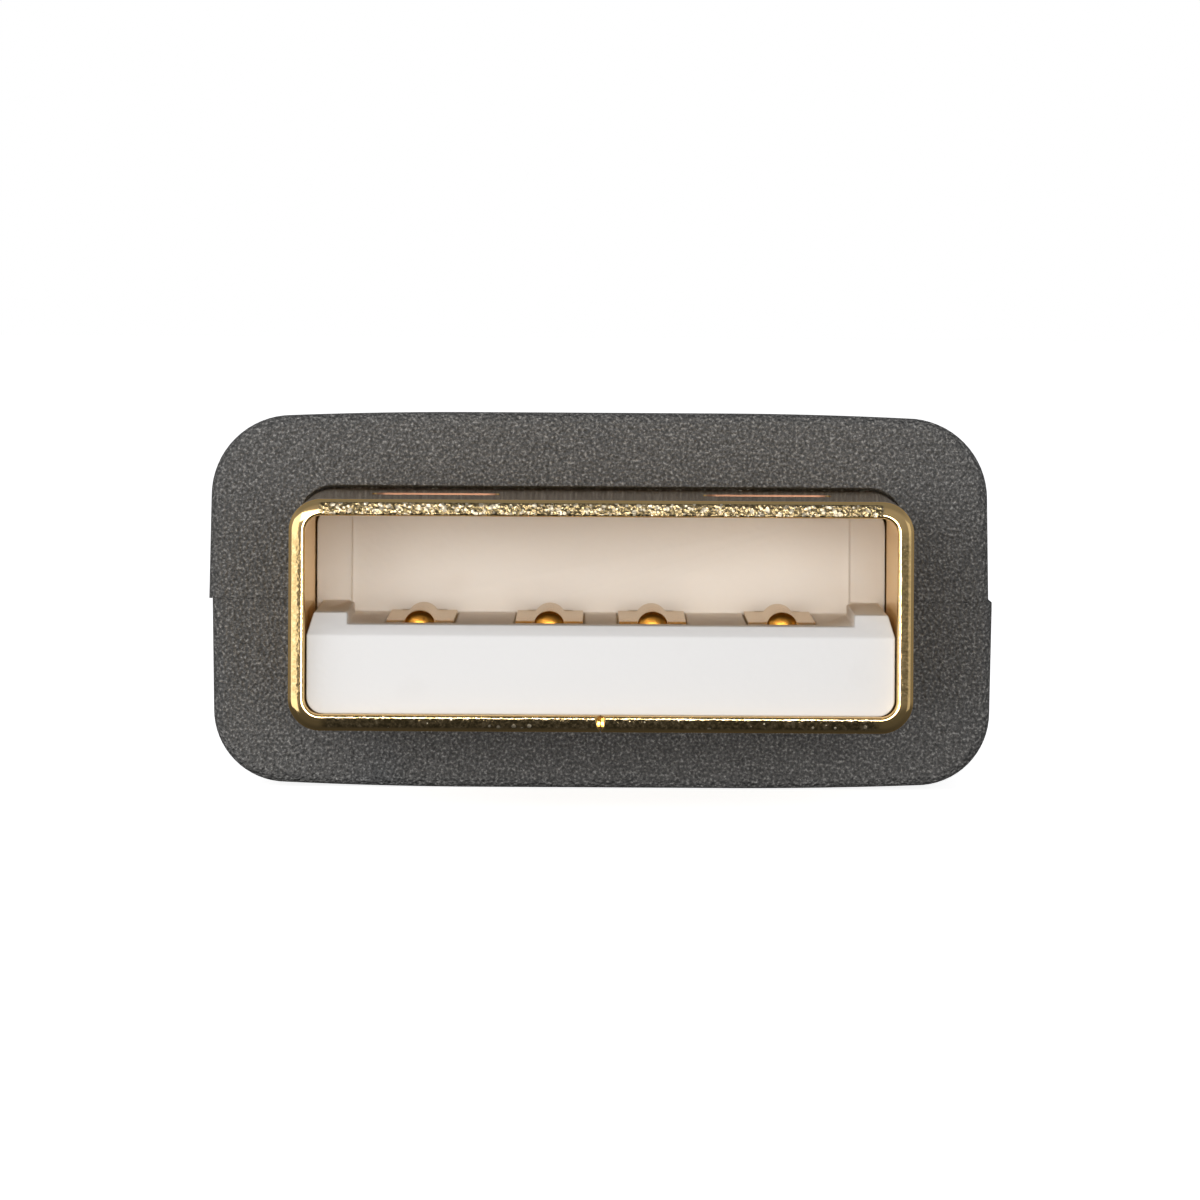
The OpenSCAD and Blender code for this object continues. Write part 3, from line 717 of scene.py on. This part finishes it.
# %% Geometry Nodes: the tuck at the front, and the finished sheet
ahead = maths(tree, "DIVIDE", maths(tree, "SUBTRACT", y, (given, "Front")), (given, "Tuck Length"))
bent = maths(tree, "MAXIMUM", maths(tree, "SUBTRACT", 1.0, ahead), 0.0)
drop = product(tree, bent, bent, (given, "Tuck"))
place = node(tree, "ShaderNodeCombineXYZ")
feed(tree, maths(tree, "ADD", flat_x, (given, "Centre")), place, "X")
feed(tree, y, place, "Y")
feed(tree, maths(tree, "SUBTRACT", maths(tree, "ADD", rise, (given, "Level")), drop), place, "Z")
raised = node(tree, "GeometryNodeSetPosition")
link(tree, grid, "Mesh", raised, "Geometry")
link(tree, place, "Vector", raised, "Position")
close_tree(tree, given, made, raised)
print("nodes in the tree:", len(tree.nodes))


# %% The tail and the coined nose
def tail_outline(centre):
    """Plan of the part that is pressed through the block, with a barb on each side."""
    half, barb_y = BLADE["tail_w"] / 2, cavity_y + BLADE["barb_at"]
    right = [(half, cavity_y), (half, barb_y), (half + BLADE["barb"], barb_y), (half, barb_y + BLADE["barb_l"]),
             (half, blade_high.y)]
    return [(centre + x, y) for x, y in right] + [(centre - x, y) for x, y in reversed(right)]


def nose_rings(centre):
    """The bead's front end, pressed shut into a shallow dome. Each ring is a share of the full arch."""
    top = blade_z + BLADE["bead_h"] - seat_z
    half = BLADE["bead_w"] / 2 * 1.02
    a = np.linspace(0, math.pi, 25)
    rings = []
    for share, back in ((0.30, 0.0), (0.62, 0.015), (0.86, 0.045), (0.96, 0.085), (0.98, 0.12),
                        (0.98, 0.4)):
        rings.append([(centre + half * share * math.cos(t), BLADE["front"] + back * MM,
                       seat_z + top * share * math.sin(t) ** 0.8) for t in a])
    return rings


# %% Make the four contacts
for number in (1, 2, 3, 4):
    low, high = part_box(f"contact_{number}")
    centre = (low.x + high.x) / 2
    contact = grow(f"contact_strip_{number}", tree, Width=BLADE["width"], Front=BLADE["front"] + 0.1 * MM,
                   Back=BLADE["throat"], Level=blade_z, Bead_Radius=bead_r, Bead_Height=BLADE["bead_h"],
                   Bead_End=BLADE["front"] + BLADE["bead_l"], Soft=BLADE["soft"], Centre=centre,
                   Tuck=BLADE["tuck"], Tuck_Length=BLADE["tuck_l"], Material=FINISH["gold_plated_contacts"])
    thick = contact.modifiers.new("sheet", "SOLIDIFY")
    thick.thickness, thick.offset = BLADE["sheet"], -1
    settle(contact)
    join(contact, prism("tail", tail_outline(centre), seat_z, blade_z))
    join(contact, loft("nose", nose_rings(centre)))
    tidy_mesh(contact.data)
    dress(contact, "gold_plated_contacts", f"contact_{number}")

# %% [markdown]
# ## The carrier
#
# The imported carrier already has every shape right, but its edges are perfectly sharp. A moulded edge is never
# sharp, because the steel that made it had a small radius, and that radius is what catches the light. The copy
# is merged first, flat triangles are joined into whole faces, and then a Bevel rounds each real edge.

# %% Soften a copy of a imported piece
def soften(name, source, width):
    """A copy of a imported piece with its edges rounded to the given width."""
    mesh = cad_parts[source].data.copy()
    work = bmesh.new()
    work.from_mesh(mesh)
    bmesh.ops.remove_doubles(work, verts=work.verts, dist=10 * MERGE)
    bmesh.ops.dissolve_limit(work, angle_limit=math.radians(0.5), verts=work.verts, edges=work.edges)
    bmesh.ops.recalc_face_normals(work, faces=work.faces)
    work.to_mesh(mesh)
    work.free()
    if "sharp_face" in mesh.attributes:
        mesh.attributes.remove(mesh.attributes["sharp_face"])
    piece = new_object(name, mesh)
    round_edges(piece, width)
    tidy_mesh(piece.data, sharp_degrees=35)
    return piece


carrier = soften("contact_carrier", "insulator", 0.035 * MM)
dress(carrier, "white_insulator", "insulator")

# %% [markdown]
# ## The grip
#
# The grip is one moulding. Its section is a rounded rectangle with slightly crowned top and bottom, and its
# sides lean out by a degree to the parting line. The two mould halves met a few hundredths off, which leaves a
# fine step along the middle. Rings of that section are skinned from front to back, and the rear ones shrink
# along a cosine. NumPy places the points, because each ring also has to dip into the five finger grooves.

# %% Sizes of the grip
GRIP = dict(corner=1.62 * MM, lower_corner=1.46 * MM, crown=0.08 * MM, flat=5.0 * MM, draft=math.radians(1.0),
            shift=0.07 * MM, fall=0.0135, witness=0.035 * MM, front_edge=0.25 * MM, taper=7.0 * MM,
            rear_w=9.2 * MM, rear_h=6.4 * MM, rear_corner=2.1 * MM, rear_flat=3.0 * MM, rear_edge=0.6 * MM)
GROOVE = dict(count=5, pitch=1.9 * MM, r=0.8 * MM, sink=0.35 * MM, soft=0.05 * MM)
grip_h = grip_high.z - grip_low.z
grip_line_w = 15.66 * MM
lean = (grip_h / 2 - GRIP["crown"] - GRIP["corner"]) * math.tan(GRIP["draft"])
body_w = grip_line_w - 2 * lean
straight_end = grip_end - GRIP["taper"]
print("width above the leaning sides, mm:", round(body_w / MM, 3))


# %% Half of the section
def half_section(w, h, r, flat, side_steps=14, corner_steps=16, crown_steps=10):
    """The upper half of the section, from the right parting point over the crown to the left one."""
    edge, side = w / 2 - r, h / 2 - GRIP["crown"] - r
    up = np.linspace(0, 1, side_steps + 1)[:-1]
    wall = np.stack([w / 2 + side * math.tan(GRIP["draft"]) * (1 - up), side * up], 1)
    a = np.linspace(0, math.pi / 2, corner_steps + 1)
    corner = np.stack([edge + r * np.cos(a), side + r * np.sin(a)], 1)
    u = np.linspace(1, 0, crown_steps + 1)[1:]
    crown = np.stack([flat / 2 + (edge - flat / 2) * u, h / 2 - GRIP["crown"] * u * u], 1)
    middle = np.array([[flat / 4, h / 2], [0, h / 2]])
    right = np.concatenate([wall, corner, crown, middle])
    return np.concatenate([right, right[-2::-1] * (-1, 1)])


# %% One ring of the grip
def grip_ring(y, u, inset):
    """The section at y. u runs from 0 to 1 over the taper, and inset draws the ring in for a rounded end."""
    e = (1 - math.cos(math.pi * u)) / 2
    w = body_w + (GRIP["rear_w"] - body_w) * e - 2 * inset
    h = grip_h + (GRIP["rear_h"] - grip_h) * e - 2 * inset
    r = GRIP["corner"] + (GRIP["rear_corner"] - GRIP["corner"]) * e - inset
    flat = GRIP["flat"] + (GRIP["rear_flat"] - GRIP["flat"]) * e
    upper = half_section(w, h, r, flat)
    lower = -half_section(w, h, r + (GRIP["lower_corner"] - GRIP["corner"]) * (1 - e), flat)
    shift = np.array([GRIP["shift"] / 2, 0])
    # The top falls a little towards the cable, up to the taper.
    fall = GRIP["fall"] * (min(y, straight_end) - grip_y) * (1 - e)
    section = np.concatenate([upper * (1, 1 - fall / (h / 2)) - shift, lower + shift])
    section[:, 0] = np.clip(section[:, 0], grip_low.x, grip_high.x)
    return np.stack([section[:, 0], np.full(len(section), y), section[:, 1]], 1)


# %% Finger grooves
groove_first = grip_y + (GRIP["front_edge"] + straight_end - grip_y
                         - (GROOVE["count"] - 1) * GROOVE["pitch"]) / 2
groove_ys = [groove_first + i * GROOVE["pitch"] for i in range(GROOVE["count"])]
groove_x = grip_line_w / 2 + GROOVE["r"] - GROOVE["sink"]
FREE = 1.0  # a reach that no groove limits


def groove_floor(y):
    """How far out the grip's side may reach at y."""
    reach = FREE
    for centre in groove_ys:
        d = abs(y - centre)
        if d < GROOVE["r"]:
            reach = min(reach, groove_x - math.sqrt(GROOVE["r"] ** 2 - d * d))
    return reach


def ease_under(x, limit, soft):
    """The lesser of x and limit, rounded where they cross."""
    h = np.clip(0.5 + 0.5 * (limit - x) / soft, 0, 1)
    return limit * (1 - h) + x * h - soft * h * (1 - h)


print("grooves at, mm:", [round(y / MM, 2) for y in groove_ys])


# %% Stations along the grip
def station_list():
    """Where the rings stand: close together over the edges, the grooves and the taper."""
    front, rear = GRIP["front_edge"], GRIP["rear_edge"]
    stations = [(grip_y + front * (1 - math.cos(a)), 0.0, front * (1 - math.sin(a)))
                for a in np.linspace(0, math.pi / 2, 9)]
    clear = 1.1 * MM
    stops = {round(y / MM, 3) for y in np.arange(grip_y + 0.7 * MM, straight_end, 0.6 * MM)
             if y < groove_ys[0] - clear or y > groove_ys[-1] + clear}
    for centre in groove_ys:
        stops |= {round((centre + d) / MM, 3) for d in np.linspace(-0.95, 0.95, 25) * MM}
    stations += [(y * MM, 0.0, 0.0) for y in sorted(stops)]
    for u in np.linspace(0, 1, 26):
        stations.append((straight_end + (grip_end - rear - straight_end) * u, u, 0.0))
    for a in np.linspace(0, math.pi / 2, 11)[1:]:
        stations.append((grip_end - rear * (1 - math.sin(a)), 1.0, rear * (1 - math.cos(a))))
    return stations


# %% Skin the grip
rings = []
for y, u, inset in station_list():
    ring = grip_ring(y, u, inset)
    limit = groove_floor(y)
    if limit < FREE:
        ring[:, 0] = np.sign(ring[:, 0]) * ease_under(np.abs(ring[:, 0]), limit, GROOVE["soft"])
    rings.append(ring)
grip = loft("moulded_grip", rings)
print("grip rings:", len(rings), "points in each:", len(rings[0]))

# %% [markdown]
# The moulding shrank round the shell and the inner shield, so the core is cut out of it with their own
# outlines. Where the grip meets the shell, the soft edge stands off by a hair and leaves a dark line. The gap
# ends blind a little behind the face. A fine witness line crosses the face where the two halves of the mould
# met.

# %% Cut the witness line and the shell's core
mouth_gap = 0.048 * MM
flare = 0.02 * MM
snug = 0.004 * MM
witness = GRIP["witness"]
line = round_rect(grip_line_w + MM, witness, witness / 3, steps=2)
cut(grip, outline_prism("witness_line", line, grip_y - MM, grip_y + 1.6 * witness))
collar = [(grip_y - MM, mouth_gap + flare), (grip_y, mouth_gap + flare), (grip_y + 0.08 * MM, mouth_gap),
          (grip_y + 0.3 * MM, snug), (tray_low.y + 0.5 * MM, snug)]
cut(grip, loft("shell_core", [across_ring(round_rect(shell_w + 2 * g, shell_h + 2 * g, SHELL_CORNER + g), y)
                              for y, g in collar]))
print("gap round the shell, mm:", round(mouth_gap / MM, 3))

# %% Cut the shield's core and the cable's bore
shield_sheet = 0.25 * MM
core_w = lid_high.x - lid_low.x
core_h = lid_high.z + (shell_h / 2 + shield_sheet)
cut(grip, outline_prism("shield_core", round_rect(core_w, core_h, 0.5 * MM), tray_low.y, lid_high.y,
                        lift=(lid_high.z - shell_h / 2 - shield_sheet) / 2))
cable_r = 2.0 * MM
barrel_r = cable_r + shield_sheet
tube = [(lid_high.y - 0.5 * MM, barrel_r), (tray_high.y, barrel_r), (tray_high.y, cable_r),
        (grip_end - 0.25 * MM, cable_r), (grip_end + 0.2 * MM, cable_r + 0.35 * MM)]
circle = np.linspace(0, 2 * math.pi, 65)[:-1]
hair = 0.001 * MM  # no two rings stand at quite the same place
cut(grip, loft("cable_core", [[(r * math.cos(a), y + i * hair, r * math.sin(a)) for a in circle]
                              for i, (y, r) in enumerate(tube)]))
tidy_mesh(grip.data, sharp_degrees=32)
dress(grip, "dark_grey_grip", "overmould")

# %% [markdown]
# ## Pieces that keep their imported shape
#
# The two halves of the inner shield and the inner mould lie inside the grip. Their shapes are right as packed,
# so each only gets its finish.

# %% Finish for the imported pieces
for source, slot in (("rear_shield_lower", "tinned_shield"), ("rear_shield_upper", "tinned_shield"),
                     ("inner_mould", "inner_mould")):
    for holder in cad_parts[source].material_slots:
        holder.material = FINISH[slot]
    print(source, "->", slot)

# %% [markdown]
# ## Camera, floor and light
#
# A long lens looks straight into the mouth, from a touch above. The plug lies on a white floor that runs on
# out of sight. Two soft boxes stand side by side behind the camera and light the white carrier evenly. A third
# hangs higher on the left, and a low one lights the mouth's lower edge. A bright wall on the left and a weak
# one on the right give the gold something to show, because a gold surface shows mostly what is round it.

# %% Camera
lens = bpy.data.cameras.new("camera")
lens.lens, lens.sensor_width = 391.5, 36.0
lens.clip_start, lens.clip_end = 0.01, 20.0
camera = bpy.data.objects.new("camera", lens)
bpy.context.scene.collection.objects.link(camera)
stand = Vector((-0.21, -250.0, 6.83)) * MM
target = Vector((-0.02, 0.0, 0.32)) * MM
tilt = math.radians(0.33)
aim = (target - stand).to_track_quat("-Z", "Y").to_matrix().to_4x4()
camera.matrix_world = Matrix.Translation(stand) @ aim @ Matrix.Rotation(tilt, 4, "Z")
bpy.context.scene.camera = camera
print("camera turns:", [round(math.degrees(a), 2) for a in camera.matrix_world.to_euler()])

# %% Floor
reach = 1.5
table_z = grip_low.z - 0.01 * MM
floor_mesh = bpy.data.meshes.new("floor")
corners = [(sx * reach, sy * reach, table_z) for sx, sy in ((-1, -1), (1, -1), (1, 1), (-1, 1))]
floor_mesh.from_pydata(corners, [], [(0, 1, 2, 3)])
new_finish("white_light_table", Base_Color=(0.9, 0.9, 0.9, 1), Roughness=0.9, Specular_IOR_Level=0.1,
           Emission_Color=(1, 1, 1, 1), Emission_Strength=0.88)
floor_mesh.materials.append(FINISH["white_light_table"])
floor = new_object("floor", floor_mesh)
floor.visible_glossy = False
floor.visible_shadow = False
floor.visible_diffuse = False
print("floor at, mm:", round(table_z / MM, 2))


# %% Soft boxes
def soft_box(name, at, size, power):
    """A rectangle of light that faces the plug."""
    light = bpy.data.lights.new(name, "AREA")
    light.shape = "RECTANGLE"
    light.size, light.size_y = size
    light.energy = power
    lamp = bpy.data.objects.new(name, light)
    bpy.context.scene.collection.objects.link(lamp)
    lamp.location = at
    lamp.rotation_euler = (Vector((0, 0.01, 0)) - Vector(at)).to_track_quat("-Z", "Y").to_euler()
    print(name, "W:", power)


soft_box("front_left_box", (-0.055, -0.496, 0.026), (0.11, 0.09), 0.69)
soft_box("front_right_box", (0.055, -0.496, 0.026), (0.11, 0.09), 0.67)
soft_box("key_box", (-0.12, -0.45, 0.13), (0.18, 0.10), 0.22)
soft_box("table_glow", (0, -0.49, -0.050), (0.30, 0.04), 0.24)
soft_box("left_wall", (-0.34, -0.28, 0.03), (0.40, 0.34), 0.62)
soft_box("right_wall", (0.38, -0.22, 0.02), (0.30, 0.30), 0.11)

# %% World: white for the eye, dimmer for the light it gives
world = bpy.data.worlds.new("studio")
bpy.context.scene.world = world
world.use_nodes = True
tree = world.node_tree
tree.nodes.clear()
out = node(tree, "ShaderNodeOutputWorld")
seen = node(tree, "ShaderNodeBackground")
seen.inputs["Color"].default_value = (1, 1, 1, 1)
lit = node(tree, "ShaderNodeBackground")
rise = node(tree, "ShaderNodeMapRange")
rise.inputs["From Min"].default_value, rise.inputs["From Max"].default_value = -1, 1
feed(tree, split_xyz(tree, "ShaderNodeTexCoord", "Generated")[2], rise, "Value")
sky = ramp(tree, (rise, 0), [(0.0, (0.05, 0.05, 0.05)), (0.40, (0.10, 0.10, 0.10)),
                             (0.52, (0.30, 0.30, 0.30)), (0.70, (0.36, 0.36, 0.37)),
                             (0.85, (0.24, 0.24, 0.25)), (1.0, (0.24, 0.25, 0.26))])
feed(tree, sky, lit, "Color")
path = node(tree, "ShaderNodeLightPath")
choose = node(tree, "ShaderNodeMixShader")
link(tree, path, "Is Camera Ray", choose, 0)
link(tree, lit, 0, choose, 1)
link(tree, seen, 0, choose, 2)
link(tree, choose, 0, out, "Surface")
bpy.context.scene.view_settings.view_transform = "Standard"
# Light bounces many times between the gold walls and the white carrier before it comes out again.
bpy.context.scene.cycles.diffuse_bounces = 6
bpy.context.scene.cycles.glossy_bounces = 6
print("world, nodes:", len(tree.nodes))
